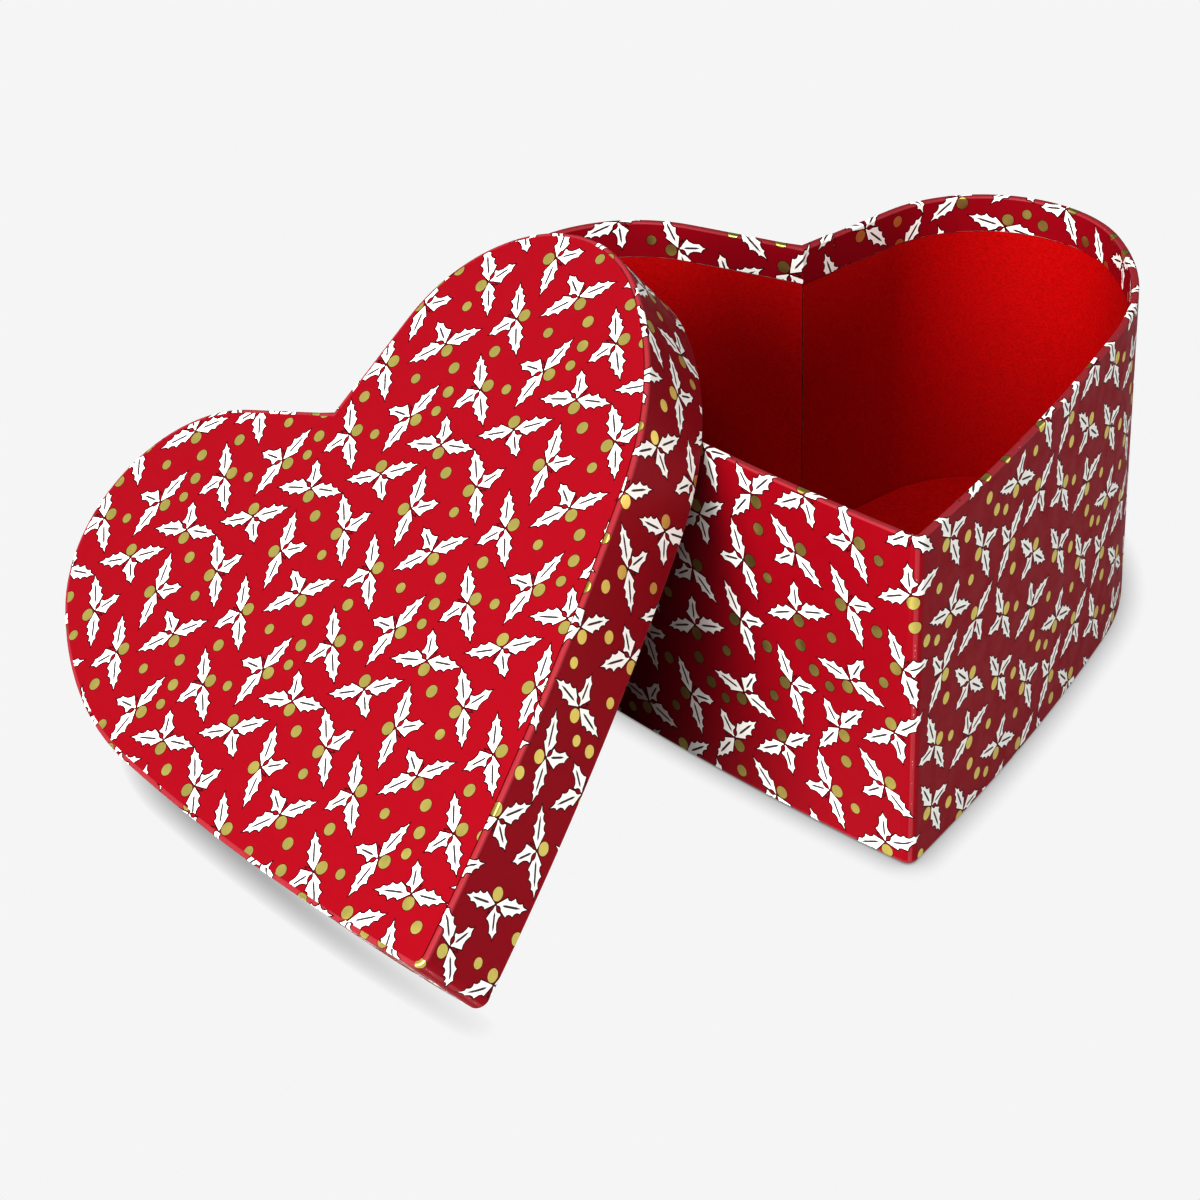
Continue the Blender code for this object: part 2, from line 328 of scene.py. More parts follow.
class Sheet:
    """A flat sheet cut into triangles that follow its print. `shapes` are (look, outline) pairs, each
    drawn over those before it, and `borders` are the u where the sheet may bend."""

    def __init__(self, outline, shapes, borders, creases=()):
        self.points = [tuple(map(float, p)) for p in outline]
        self.triangles = []
        self.looks = []
        outline = np.array(self.points)
        low, high = outline.min(axis=0), outline.max(axis=0)
        borders = [float(u) for u in borders if low[0] <= u <= high[0]]
        shapes = [
            (look, shape)
            for look, shape in shapes
            if (shape.max(axis=0) > low).all() and (shape.min(axis=0) < high).all()
        ]
        edges = self.ring(0, len(outline))
        for _, shape in shapes:
            start = len(self.points)
            self.points += [tuple(map(float, p)) for p in shape]
            edges += self.ring(start, len(self.points))
        for v in creases:
            self.points += [(low[0], float(v)), (high[0], float(v))]
            edges.append((len(self.points) - 2, len(self.points) - 1))
        edges = crossing_points(edges, self.points, borders)
        middles = [(self.points[a][0] + self.points[b][0]) / 2 for a, b in edges]
        strips = np.searchsorted(borders, middles)
        by_strip = {}
        for edge, strip in zip(edges, strips):
            by_strip.setdefault(int(strip), []).append(edge)
        on_border = {u: [] for u in borders}
        for index, (u, _) in enumerate(self.points):
            if u in on_border:
                on_border[u].append(index)
        for strip in range(1, len(borders)):
            sides = borders[strip - 1 : strip + 1]
            self.fill(outline, shapes, sides, by_strip.get(strip, []), on_border)

    @staticmethod
    def ring(start, end):
        """The edges of a closed outline whose points are numbered from start up to end."""
        return [(k, k + 1) for k in range(start, end - 1)] + [(end - 1, start)]

    def fill(self, outline, shapes, borders, edges, on_border):
        """Cuts the strip between two borders into triangles, and gives each one its look."""
        for border in borders:
            column = sorted(on_border[border], key=lambda k: (self.points[k][1], k))
            edges = edges + list(zip(column, column[1:]))
        used = sorted({index for edge in edges for index in edge})
        local = {index: k for k, index in enumerate(used)}
        places = [Vector((self.points[k][0] - borders[0], self.points[k][1])) for k in used]
        pairs = [(local[a], local[b]) for a, b in edges if local[a] != local[b]]
        found = delaunay_2d_cdt(places, pairs, [], ALL_TRIANGLES, MERGE_DISTANCE, True)
        corners, _, faces, origins, _, _ = found
        numbers = []
        for corner, origin in zip(corners, origins):
            if origin:
                numbers.append(used[min(origin)])
            else:
                self.points.append((corner.x + borders[0], corner.y))
                numbers.append(len(self.points) - 1)
        faces = [[numbers[k] for k in face] for face in faces]
        faces = [face for face in faces if len(set(face)) == 3]
        middles = np.array([[self.points[k] for k in face] for face in faces]).mean(axis=1)
        kept = inside(outline, middles)
        looks = np.zeros(len(faces), int)
        for look, shape in shapes:
            if shape[:, 0].max() > borders[0] and shape[:, 0].min() < borders[1]:
                looks[inside(shape, middles)] = look
        for face, keep, look in zip(faces, kept, looks):
            if keep:
                self.triangles.append(face)
                self.looks.append(int(look))

    def rim(self):
        """The numbers of the points round the sheet, in order."""
        around = {}
        directed = {(f[k], f[(k + 1) % 3]) for f in self.triangles for k in range(3)}
        for a, b in directed:
            if (b, a) not in directed:
                around[a] = b
        start = min(around)
        found = [start]
        while around[found[-1]] != start:
            found.append(around[found[-1]])
        return found


# ---------------------------------------------------------------- the print


# Where a leaf is widest and where its last spines are, as shares of its length, how blunt it is, and
# the least that a hollow leaves of its half width
LEAF_SHOULDER = 0.36
LEAF_OTHER_SHOULDER = LEAF_SHOULDER * 0.8
LEAF_LAST_SPINE = 0.8
LEAF_BLUNTNESS = 1.8
LEAF_LEAST = 0.4
STALK = 0.12

# How the edge dips between two spines, as (share of the way, share of the depth), and the rib's
# outline, as (share of the leaf's length, share of RIB_WIDTH)
HOLLOW_SHAPE = ((0.0, 0.0), (0.18, 0.8), (0.5, 1.0), (0.82, 0.5))
RIB_SHAPE = ((0.18, 0), (0.27, -0.5), (0.64, -0.5), (0.78, 0), (0.64, 0.5), (0.27, 0.5))
RIB_WIDTH = 0.62
DISC_SIDES = 18
BUD_STEPS = 6
BUD_FULLNESS = 0.8
MITRE_LIMIT = 2.5


def turned(points, angle, place):
    """The points turned about the origin, then moved to the place."""
    cos, sin = math.cos(angle), math.sin(angle)
    return np.asarray(points) @ np.array(((cos, sin), (-sin, cos))) + place


def grown(points, distance):
    """An anticlockwise outline moved outwards, its corners mitred as far as MITRE_LIMIT."""
    before = points - np.roll(points, 1, axis=0)
    after = np.roll(points, -1, axis=0) - points
    before /= np.linalg.norm(before, axis=1)[:, None]
    after /= np.linalg.norm(after, axis=1)[:, None]
    out = np.stack((before[:, 1] + after[:, 1], -before[:, 0] - after[:, 0]), axis=1)
    length = np.maximum(np.linalg.norm(out, axis=1)[:, None], 1e-6)
    return points + out / length * distance * np.minimum(2 / length, MITRE_LIMIT)


def leaf(length, width, spines, hollow, bend):
    """A holly leaf along +u, as its outline and its rib. Each side runs straight out to its first
    spine, and is hollow from spine to spine, the spines pointing on towards the tip."""

    def half(along):
        taper = max(0.0, (along - LEAF_SHOULDER) / (1 - LEAF_SHOULDER))
        return width / 2 * min(1.0, along / LEAF_SHOULDER) * (1 - taper**LEAF_BLUNTNESS)

    sides = []
    for first in (LEAF_SHOULDER, LEAF_OTHER_SHOULDER):
        tips = [first + (LEAF_LAST_SPINE - first) * k / (spines - 1) for k in range(spines)] + [1.0]
        edge = []
        for before, after in zip(tips, tips[1:]):
            for share, depth in HOLLOW_SHAPE:
                along = before + (after - before) * share
                chord = half(before) + (half(after) - half(before)) * share
                dip = hollow * depth * (after - before) * length
                edge.append((along * length, max(chord - dip, LEAF_LEAST * chord)))
        sides.append(edge)
    lower, upper = sides
    lower = [(x, -y) for x, y in lower]
    outline = np.array([(0, -STALK)] + lower + [(length, 0)] + upper[::-1] + [(0, STALK)])
    rib = np.array([(share * length, y * RIB_WIDTH) for share, y in RIB_SHAPE])
    for shape in (outline, rib):
        shape[:, 1] += bend * (shape[:, 0] / length) ** 2
    return outline, rib


def disc(radius):
    angles = np.arange(DISC_SIDES) * 2 * math.pi / DISC_SIDES
    return radius * np.stack((np.cos(angles), np.sin(angles)), axis=1)


def lens(length, width):
    """A bud between two leaves, pointed at both ends."""
    shares = np.linspace(0, 1, BUD_STEPS)
    half = width / 2 * np.sin(math.pi * shares) ** BUD_FULLNESS
    lower = np.stack((shares * length, -half), axis=1)
    upper = np.stack((shares * length, half), axis=1)
    return np.concatenate((lower, upper[-2:0:-1]))


class Sprig:
    """Three leaves round a point, two buds between them and a gold berry opposite the short one."""

    LEAVES = (
        {"size": (9.2, 6.2), "spines": 2, "hollow": 0.19, "bend": 0.3, "turn": 2},
        {"size": (12.6, 5.8), "spines": 3, "hollow": 0.26, "bend": 0.6, "turn": 80},
        {"size": (12.0, 5.4), "spines": 3, "hollow": 0.26, "bend": -0.7, "turn": -100},
    )
    LEAF_START = 0.45
    # How the room a leaf takes is covered: (share of its length, share of its width, least radius)
    COVER = ((0.35, 0.45, 0), (0.65, 0.45, 0), (0.93, 0, 0.5))
    # Start, length, width and turn of each bud
    BUDS = ((0.9, 2.1, 1.0, 43), (0.8, 2.6, 0.6, -50))
    BERRY_RADIUS = 2.05
    BERRY_PLACE = np.array((-2.75, 0.2))
    LINE = 0.34

    def __init__(self, place, angle):
        self.place = np.array(place, float)
        self.angle = angle

    def spots(self):
        """Circles that cover the sprig, as (place, radius), to keep its neighbours clear of it."""
        found = [(turned(self.BERRY_PLACE, self.angle, self.place), self.BERRY_RADIUS)]
        for one in self.LEAVES:
            length, width = one["size"]
            angle = self.angle + math.radians(one["turn"])
            for along, across, least in self.COVER:
                middle = turned((along * length, 0), angle, self.place)
                found.append((middle, max(across * width, least)))
        return found

    def shapes(self, shift):
        place = self.place + shift
        found = []
        for one in self.LEAVES:
            angle = self.angle + math.radians(one["turn"])
            outline, rib = leaf(*one["size"], one["spines"], one["hollow"], one["bend"])
            start = turned((self.LEAF_START, 0), angle, place)
            found.append((OUTLINE, turned(grown(outline, self.LINE), angle, start)))
            found.append((LEAF, turned(outline, angle, start)))
            found.append((RIB, turned(rib, angle, start)))
        for start, length, width, degrees in self.BUDS:
            angle = self.angle + math.radians(degrees)
            bud = lens(length, width) + (start, 0)
            found.append((OUTLINE, turned(grown(bud, self.LINE), angle, place)))
            found.append((GROUND, turned(bud, angle, place)))
        berry = turned(self.BERRY_PLACE, self.angle, place)
        found.append((OUTLINE, disc(self.BERRY_RADIUS + Dot.LINE) + berry))
        found.append((GOLD, disc(self.BERRY_RADIUS) + berry))
        return found


class Dot:
    """A loose gold berry."""

    LINE = 0.16

    def __init__(self, place, radius):
        self.place = np.array(place, float)
        self.radius = radius

    def spots(self):
        return [(self.place, self.radius)]

    def shapes(self, shift):
        place = self.place + shift
        return [(OUTLINE, disc(self.radius + self.LINE) + place), (GOLD, disc(self.radius) + place)]


class Repeat:
    """The print's repeat: staggered rows of sprigs, each turned the way that leaves most room, and
    loose berries in the largest gaps."""

    ACROSS, ROWS = 2, 4
    STEP = np.array((23.0, 18.0))
    SIZE = np.array((ACROSS * STEP[0], ROWS * STEP[1]))
    JITTER = 2.4
    TRIES = 60
    DOTS = 8
    DOT_RADII = (1.7, 1.95)

    def __init__(self, seed):
        self.random = random.Random(seed)
        self.motifs = []
        for row in range(self.ROWS):
            for column in range(self.ACROSS):
                self.add([self.sprig(row, column) for _ in range(self.TRIES)])
        for number in range(self.DOTS):
            radius = self.DOT_RADII[number % len(self.DOT_RADII)]
            self.add([Dot(self.anywhere(), radius) for _ in range(4 * self.TRIES)])

    def sprig(self, row, column):
        middle = (np.array((column + row % 2 / 2, row)) + 0.25) * self.STEP
        jitter = np.array([self.random.uniform(-self.JITTER, self.JITTER) for _ in range(2)])
        return Sprig(middle + jitter, self.random.uniform(0, 2 * math.pi))

    def anywhere(self):
        return [self.random.uniform(0, size) for size in self.SIZE]

    def add(self, tries):
        """Keeps the one that has most room."""
        self.motifs.append(max(tries, key=self.clearance))

    def clearance(self, motif):
        """The least gap from the motif to those placed already, over the repeat's borders too."""
        least = math.inf
        spots = motif.spots()
        for other in self.motifs:
            for place, radius in other.spots():
                for own_place, own_radius in spots:
                    away = own_place - place
                    away = away - self.SIZE * np.round(away / self.SIZE)
                    least = min(least, float(np.hypot(*away)) - radius - own_radius)
        return least

    def over(self, low, high, angle, origin):
        """The print over a box of the sheet's u and v, turned and moved."""
        corners = np.array([(u, v) for u in (low[0], high[0]) for v in (low[1], high[1])])
        back = turned(corners - origin, -angle, 0)
        first = np.floor(back.min(axis=0) / self.SIZE).astype(int) - 1
        last = np.ceil(back.max(axis=0) / self.SIZE).astype(int) + 1
        found = []
        for column in range(first[0], last[0]):
            for row in range(first[1], last[1]):
                for motif in self.motifs:
                    for look, shape in motif.shapes(self.SIZE * (column, row)):
                        found.append((look, turned(shape, angle, origin)))
        return found


def flecks(chance, lines, count):
    """White chips, rough hexagons, along worn lines. Each line is (start, end) in u and v."""
    found = []
    for _ in range(count):
        start, end = (np.array(end, float) for end in chance.choice(lines))
        middle = start + (end - start) * chance.random()
        along = math.atan2(*(end - start)[::-1]) + chance.gauss(0, 0.25)
        half = chance.uniform(0.3, 1.0) * np.array((FLECK_LENGTH, FLECK_WIDTH)) / 2
        corners = []
        for k in range(6):
            x = math.cos(k * math.pi / 3) * chance.uniform(0.5, 1)
            y = math.sin(k * math.pi / 3) * chance.uniform(0.4, 1)
            corners.append((x, y))
        scatter = (chance.gauss(0, FLECK_WIDTH / 3), chance.gauss(0, FLECK_WIDTH / 3))
        found.append((WORN, turned(np.array(corners) * half, along, middle + scatter)))
    return found


# ---------------------------------------------------------------- folding sheets into pieces


# Keeps the division that makes a face's normal one long safe for a face without area
SMALLEST = 1e-30


def quarter(depth, height, start):
    """A quarter-turn fold, as (depth, height, outward part, upward part) of its outer face."""
    found = []
    for step in range(FOLD_STEPS + 1):
        angle = math.radians(start + 90 * step / FOLD_STEPS)
        out, up = math.cos(angle), math.sin(angle)
        found.append((depth - FOLD_RADIUS * out, height + FOLD_RADIUS * up, out, up))
    return found


def wrap_section(bottom, top, lower_margin, turn_in):
    """Paper from a margin under the wall, up its outside, over the rim at `top` and down inside."""
    rim = top - FOLD_RADIUS
    section = [(lower_margin, bottom, 0, -1)]
    section += quarter(FOLD_RADIUS, bottom + FOLD_RADIUS, -90)
    section += quarter(FOLD_RADIUS, rim, 0)
    section += quarter(WALL - FOLD_RADIUS, rim, 90)
    section += [(WALL, top - turn_in, -1, 0)]
    return np.array(section, float)


class Fold:
    """Carries a sheet's (u, v) to the frame: u runs round an edge, and v along a section."""

    def __init__(self, edge, section, matrix, flip=1):
        self.edge = edge
        self.section = section
        self.matrix = matrix
        self.flip = flip
        steps = np.linalg.norm(np.diff(section[:, :2], axis=0), axis=1)
        self.v = np.concatenate(([0.0], np.cumsum(steps)))

    def place(self, points, below=0.0):
        """Places and normals of the points, on the face that is `below` the sheet's outer one."""
        u, v = np.array(points).T
        edge = self.edge
        row = np.clip(np.searchsorted(self.v, v, side="right") - 1, 0, len(self.v) - 2)
        share = ((v - self.v[row]) / (self.v[row + 1] - self.v[row]))[:, None]
        before, after = self.section[row], self.section[row + 1]
        depth, height, out, up = (before + (after - before) * share).T
        column = np.clip(np.searchsorted(edge.u, u, side="right") - 1, 0, len(edge.u) - 2)
        part = (u - edge.u[column]) / (edge.u[column + 1] - edge.u[column])

        def between(values):
            weight = part if values.ndim == 1 else part[:, None]
            return values[column] + (values[column + 1] - values[column]) * weight

        turned_in = np.clip((v - self.v[-2] - FLAP_START) / (self.v[-1] - self.v[-2]), 0, 1)
        raised = between(edge.lift) + between(edge.flap) * turned_in - below
        depth = depth - raised * out
        height = height + raised * up
        ends = [
            edge.place[k] - np.minimum(depth, edge.room[k])[:, None] * edge.inward[k]
            for k in (column, column + 1)
        ]
        flat = ends[0] + (ends[1] - ends[0]) * part[:, None]
        places = np.column_stack((flat, height * self.flip)) * MM
        normals = np.column_stack((between(edge.out) * out[:, None], up * self.flip))
        normals /= np.linalg.norm(normals, axis=1)[:, None]
        matrix = np.array(self.matrix)
        return places @ matrix[:3, :3].T + matrix[:3, 3], normals @ matrix[:3, :3].T


class Flat:
    """Carries a flat sheet's (u, v) to the frame, its face `height` up from the matrix's own plane."""

    def __init__(self, height, matrix, flip=1):
        self.height = height
        self.matrix = matrix
        self.flip = flip

    def place(self, points, below=0.0):
        flat = np.array(points)
        height = np.full(len(flat), (self.height - below) * self.flip)
        matrix = np.array(self.matrix)
        places = np.column_stack((flat, height)) * MM
        normal = matrix[:3, 2] * self.flip
        return places @ matrix[:3, :3].T + matrix[:3, 3], np.tile(normal, (len(flat), 1))


def folded_piece(name, sheet, back, carrier, thickness, looks):
    """One closed sheet: its printed face, its plain back and the cut edge between them. The back takes
    the last look and the cut edge the first. `back` starts with the sheet's rim points, in order."""
    rim = sheet.rim()
    front_places, front_normals = carrier.place(sheet.points)
    back_places, back_normals = carrier.place(back.points, thickness)
    shift = len(front_places)
    front_count = len(sheet.triangles)
    smooth_count = front_count + len(back.triangles)
    faces = [list(face) for face in sheet.triangles]
    faces += [[shift + k for k in face[::-1]] for face in back.triangles]
    slots = list(sheet.looks) + [len(looks) - 1] * len(back.triangles) + [0] * len(rim)
    for k in range(len(rim)):
        after = (k + 1) % len(rim)
        faces.append([rim[after], rim[k], shift + k, shift + after])
    places = np.concatenate((front_places, back_places))
    point_normals = np.concatenate((front_normals, -back_normals))
    first, second, third = (places[[f[k] for f in faces]] for k in range(3))
    face_normals = np.cross(second - first, third - first)
    wanted = point_normals[[face[0] for face in sheet.triangles]]
    if np.einsum("ij,ij->i", face_normals[:front_count], wanted).sum() < 0:
        faces = [face[::-1] for face in faces]
        face_normals = -face_normals
    face_normals /= np.maximum(np.linalg.norm(face_normals, axis=1), SMALLEST)[:, None]
    used = sorted({k for face in faces for k in face})
    numbers = {k: i for i, k in enumerate(used)}
    mesh = bpy.data.meshes.new(name)
    mesh.from_pydata(places[used].tolist(), [], [[numbers[k] for k in face] for face in faces])
    mesh.polygons.foreach_set("material_index", slots)
    for look in looks:
        mesh.materials.append(look)
    mesh.shade_smooth()
    normals = []
    for number, face in enumerate(faces):
        flat = number >= smooth_count
        normals += [face_normals[number] if flat else point_normals[k] for k in face]
    mesh.normals_split_custom_set([tuple(map(float, n)) for n in normals])
    piece = bpy.data.objects.new(name, mesh)
    bpy.context.scene.collection.objects.link(piece)
    return piece


def wrap_piece(name, edge, carrier, shapes, looks, thickness, slit=0.0):
    """A strip folded round a heart, its ends `slit` short of the cleft."""
    start, end, top = float(edge.u[0]) + slit, float(edge.u[-1]) - slit, float(carrier.v[-1])
    outline = [(start, 0), (end, 0), (end, top), (start, top)]
    creases = carrier.v[1:-1]
    sheet = Sheet(outline, shapes, edge.u, creases)
    back = Sheet([sheet.points[k] for k in sheet.rim()], [], edge.u, creases)
    return folded_piece(name, sheet, back, carrier, thickness, looks)


def heart_piece(name, edge, depth, carrier, shapes, looks, thickness):
    """A flat heart of paper."""
    outline = edge.loop(depth)
    half = float(outline[:, 0].max())
    borders = np.linspace(-half, half, HEART_BORDERS)
    sheet = Sheet(outline, shapes, borders)
    back = Sheet([sheet.points[k] for k in sheet.rim()], [], borders)
    return folded_piece(name, sheet, back, carrier, thickness, looks)


# ---------------------------------------------------------------- materials


# What most of a noise's values lie between
NOISE_RANGE = (0.3, 0.7)


class Surface:
    """A Principled material whose roughness and fine relief come from nodes, in the object's space."""

    def __init__(self, name, colour, roughness, metallic=0.0, specular=0.5):
        self.material = bpy.data.materials.new(name)
        self.material.use_nodes = True
        self.nodes = self.material.node_tree.nodes
        self.links = self.material.node_tree.links
        self.shader = self.nodes["Principled BSDF"]
        self.shader.inputs["Base Color"].default_value = (*colour, 1)
        self.shader.inputs["Metallic"].default_value = metallic
        self.shader.inputs["Roughness"].default_value = roughness
        self.shader.inputs["Specular IOR Level"].default_value = specular
        self.material.diffuse_color = (*colour, 1)
        self.space = self.nodes.new("ShaderNodeTexCoord").outputs["Object"]
        self.relief = None

    def noise(self, size, detail=3.0, stretch=None):
        """Noise whose patches are about `size` mm across."""
        node = self.nodes.new("ShaderNodeTexNoise")
        node.inputs["Scale"].default_value = 1 / (size * MM)
        node.inputs["Detail"].default_value = detail
        space = self.space
        if stretch:
            mapping = self.nodes.new("ShaderNodeMapping")
            mapping.inputs["Scale"].default_value = stretch
            self.links.new(space, mapping.inputs["Vector"])
            space = mapping.outputs["Vector"]
        self.links.new(space, node.inputs["Vector"])
        return node.outputs["Fac"]

    def spread(self, value, low, high):
        """A noise's values, spread from low to high."""
        node = self.nodes.new("ShaderNodeMapRange")
        node.inputs["From Min"].default_value = NOISE_RANGE[0]
        node.inputs["From Max"].default_value = NOISE_RANGE[1]
        node.inputs["To Min"].default_value = low
        node.inputs["To Max"].default_value = high
        self.links.new(value, node.inputs["Value"])
        return node.outputs["Result"]

    def rough(self, size, low, high):
        """Roughness from low to high, in patches."""
        self.links.new(self.spread(self.noise(size), low, high), self.shader.inputs["Roughness"])

    def bump(self, size, height, detail=3.0, stretch=None):
        """Relief of about `height` mm, laid over any that is there already."""
        node = self.nodes.new("ShaderNodeBump")
        node.inputs["Distance"].default_value = height * MM
        self.links.new(self.noise(size, detail, stretch), node.inputs["Height"])
        if self.relief:
            self.links.new(self.relief, node.inputs["Normal"])
        self.relief = node.outputs["Normal"]
        self.links.new(self.relief, self.shader.inputs["Normal"])

    def mottle(self, size, colours, stretch=None):
        """Base colour from one end of `colours` to the other, in patches."""
        node = self.nodes.new("ShaderNodeMix")
        node.data_type = "RGBA"
        # Its sockets share their names, so they go by number: the factor, the two colours, the result.
        factor, first, second, result = node.inputs[0], node.inputs[6], node.inputs[7], node.outputs[2]
        first.default_value = (*colours[0], 1)
        second.default_value = (*colours[1], 1)
        self.links.new(self.spread(self.noise(size, 5.0, stretch), 0, 1), factor)
        self.links.new(result, self.shader.inputs["Base Color"])


def printed(name, colour, roughness, metallic=0.0, specular=0.5):
    """Coated paper: a faint fibre grain, and slow waves where it was stretched over board."""
    surface = Surface(name, colour, roughness, metallic, specular)
    surface.rough(6, roughness - 0.06, roughness + 0.08)
    surface.bump(0.35, 0.006)
    surface.bump(28, 0.12, 1.0)
    return surface.material


def make_looks():
    """Every material: the print's in the order of LOOKS, and one each for lining, board and tape."""
    print_looks = [
        printed(LOOKS[GROUND], (0.242, 0.0028, 0.0135), 0.4, specular=0.12),
        printed(LOOKS[OUTLINE], (0.05, 0.003, 0.006), 0.45, specular=0.12),
        printed(LOOKS[LEAF], (0.72, 0.71, 0.68), 0.45, specular=0.12),
        printed(LOOKS[RIB], (0.06, 0.05, 0.05), 0.5, specular=0.12),
        printed(LOOKS[GOLD], (0.64, 0.57, 0.2), 0.46, metallic=1.0),
        printed(LOOKS[WORN], (0.78, 0.42, 0.42), 0.8, specular=0.2),
        # A paler red: painted highlight over the folds and down the tip
        printed(LOOKS[FOLD_HIGHLIGHT], (0.275, 0.038, 0.048), 0.45, specular=0.12),
        printed(LOOKS[BACK], (0.72, 0.68, 0.62), 0.85, specular=0.2),
    ]
    lining = Surface("red_lining_paper", (0.3, 0.0, 0.001), 0.75, specular=0.12)
    lining.mottle(1.1, ((0.29, 0.0, 0.0005), (0.42, 0.001, 0.002)), stretch=(1, 1, 3))
    lining.rough(4, 0.62, 0.8)
    lining.bump(0.6, 0.05)
    board = Surface("grey_board", (0.42, 0.39, 0.34), 0.9, specular=0.2)
    board.mottle(0.8, ((0.33, 0.31, 0.27), (0.5, 0.47, 0.42)))
    board.rough(2, 0.82, 0.95)
    board.bump(0.4, 0.05)
    tape = Surface("gummed_paper_tape", (0.48, 0.36, 0.22), 0.75, specular=0.3)
    tape.mottle(1.2, ((0.42, 0.3, 0.17), (0.55, 0.42, 0.27)))
    tape.rough(3, 0.65, 0.85)
    tape.bump(0.4, 0.02, stretch=(1, 1, 0.2))
    return {
        "print": print_looks,
        "lining": lining.material,
        "board": board.material,
        "tape": tape.material,
    }


# ---------------------------------------------------------------- the box


def worn_lines(edge, fold):
    """Where a wrap wears: the rim's two folds, the turned-in edge and, twice over, the tip's fold."""
    tip = edge.tip_u
    low, outer, inner = (fold.v[row] for row in WORN_ROWS)
    turned_in = fold.v[-1] - WORN_EDGE_INSET
    around = [((edge.u[0], v), (edge.length, v)) for v in (outer, inner, turned_in)]
    return around + [((tip, low), (tip, outer))] * 2


def painted_highlight_bands(edge, fold):
    """Painted highlight: the red made paler over a wrap's folds and down its tip."""
    ends = (edge.u[0] - 1, edge.u[-1] + 1)
    lower = (fold.v[BOTTOM_FOLD[0]] - HIGHLIGHT_WIDTH, fold.v[BOTTOM_FOLD[1]] + HIGHLIGHT_WIDTH / 3)
    rim = (fold.v[OUTER_FOLD[0]], fold.v[INNER_FOLD[1]])
    tip = (edge.tip_u - HIGHLIGHT_TIP_WIDTH, edge.tip_u + HIGHLIGHT_TIP_WIDTH)
    boxes = [(ends, lower), (ends, rim), (tip, (lower[1], rim[0]))]
    return [(FOLD_HIGHLIGHT, np.array([(a, c), (b, c), (b, d), (a, d)])) for (a, b), (c, d) in boxes]


def enter(piece, body, node):
    """Puts a piece on its body, in the place of a CAD node."""
    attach(piece, body)
    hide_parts(node)


def build_lining(node, body, shape, carrier, heights, flip, look):
    """A plain strip inside a wall, butted and creased at the cleft."""
    edge = Edge(*shape, crease=LINING_CREASE)
    section = np.array([(WALL, height, -1, 0) for height in heights], float)
    fold = Fold(edge, section, carrier, flip)
    piece = wrap_piece("red_" + node, edge, fold, [], [look], PAPER, slit=LINING_BUTT / 2)
    enter(piece, body, node)


def build_plain_heart(node, body, shape, depth, carrier, look):
    """A flat unprinted sheet."""
    piece = heart_piece("red_" + node, Edge(*shape), depth, carrier, [], [look], PAPER)
    enter(piece, body, node)


def build_base(looks, repeat):
    chance = random.Random(BASE_WEAR_SEED)
    shape = (0, BASE_TIP_RADIUS)
    level = Matrix.Identity(4)
    edge = Edge(*shape, lap=LAP, flaps=True)
    section = wrap_section(MARGIN_HEIGHT, HEIGHT, TURN_UNDER, TURN_IN)
    fold = Fold(edge, section, level)
    # The paler bands over the folds are painted highlight.
    shapes = painted_highlight_bands(edge, fold)
    shapes += repeat.over((0, 0), (edge.u[-1], fold.v[-1]), **BASE_PRINT)
    shapes += flecks(chance, worn_lines(edge, fold), BASE_FLECKS)
    wrap = wrap_piece("printed_base_wrap", edge, fold, shapes, looks["print"], SHEET_THICKNESS)
    enter(wrap, "base", "base_wrap")

    heights = (BASE_PAD_HEIGHT, HEIGHT - TURN_IN - SLIT)
    build_lining("base_wall_lining", "base", shape, level, heights, 1, looks["lining"])
    cover = Flat(BASE_FLOOR_HEIGHT, level)
    build_plain_heart("base_floor_cover", "base", shape, WALL + LOOSE_FIT, cover, looks["lining"])
    under = Flat(0, level, flip=-1)
    build_plain_heart("base_underside_sheet", "base", shape, UNDERSIDE_INSET, under, looks["lining"])


def build_lid(looks, repeat):
    chance = random.Random(LID_WEAR_SEED)
    shape = (LID_GROWTH, LID_TIP_RADIUS)
    leaning = Matrix.LocRotScale(Vector(mount("lid_top_face")["pos_m"]), Euler(LID_LEAN), None)
    edge = Edge(*shape, lap=LAP, flaps=True)
    section = wrap_section(MARGIN_HEIGHT, LID_DEPTH, LID_MARGIN, TURN_IN)
    fold = Fold(edge, section, leaning, flip=-1)
    # The paler bands over the folds are painted highlight.
    shapes = painted_highlight_bands(edge, fold)
    shapes += repeat.over((0, 0), (edge.u[-1], fold.v[-1]), **LID_PRINT)
    shapes += flecks(chance, worn_lines(edge, fold), LID_FLECKS)
    wrap = wrap_piece("printed_lid_wrap", edge, fold, shapes, looks["print"], SHEET_THICKNESS)
    enter(wrap, "lid", "lid_side_wrap")

    half = np.array((1, HEART_REACH)) * (WIDTH / 2 + LID_GROWTH)
    shapes = repeat.over(-half, half, **TOP_PRINT)
    flat = Flat(0, leaning)
    edge = Edge(*shape)
    top = heart_piece("printed_lid_top", edge, TOP_SHEET_INSET, flat, shapes, looks["print"], PAPER)
    enter(top, "lid", "lid_top_sheet")

    heights = (LID_LINING_HEIGHT, LID_DEPTH - TURN_IN - SLIT)
    build_lining("lid_wall_lining", "lid", shape, leaning, heights, -1, looks["lining"])
    ceiling = Flat(LID_LINING_HEIGHT + PAPER, leaning, flip=-1)
    build_plain_heart("lid_top_lining", "lid", shape, WALL + LOOSE_FIT, ceiling, looks["lining"])


def mount(name):
    return next(m for m in frame["record"]["mounts"] if m["name"] == name)


def dress_nodes(looks):
    """The CAD's own nodes that stay: the boards and the taped stays inside the walls."""
    for name, node in frame["nodes"].items():
        look = looks["tape"] if "stay" in name else looks["board"]
        node.data.materials.clear()
        node.data.materials.append(look)
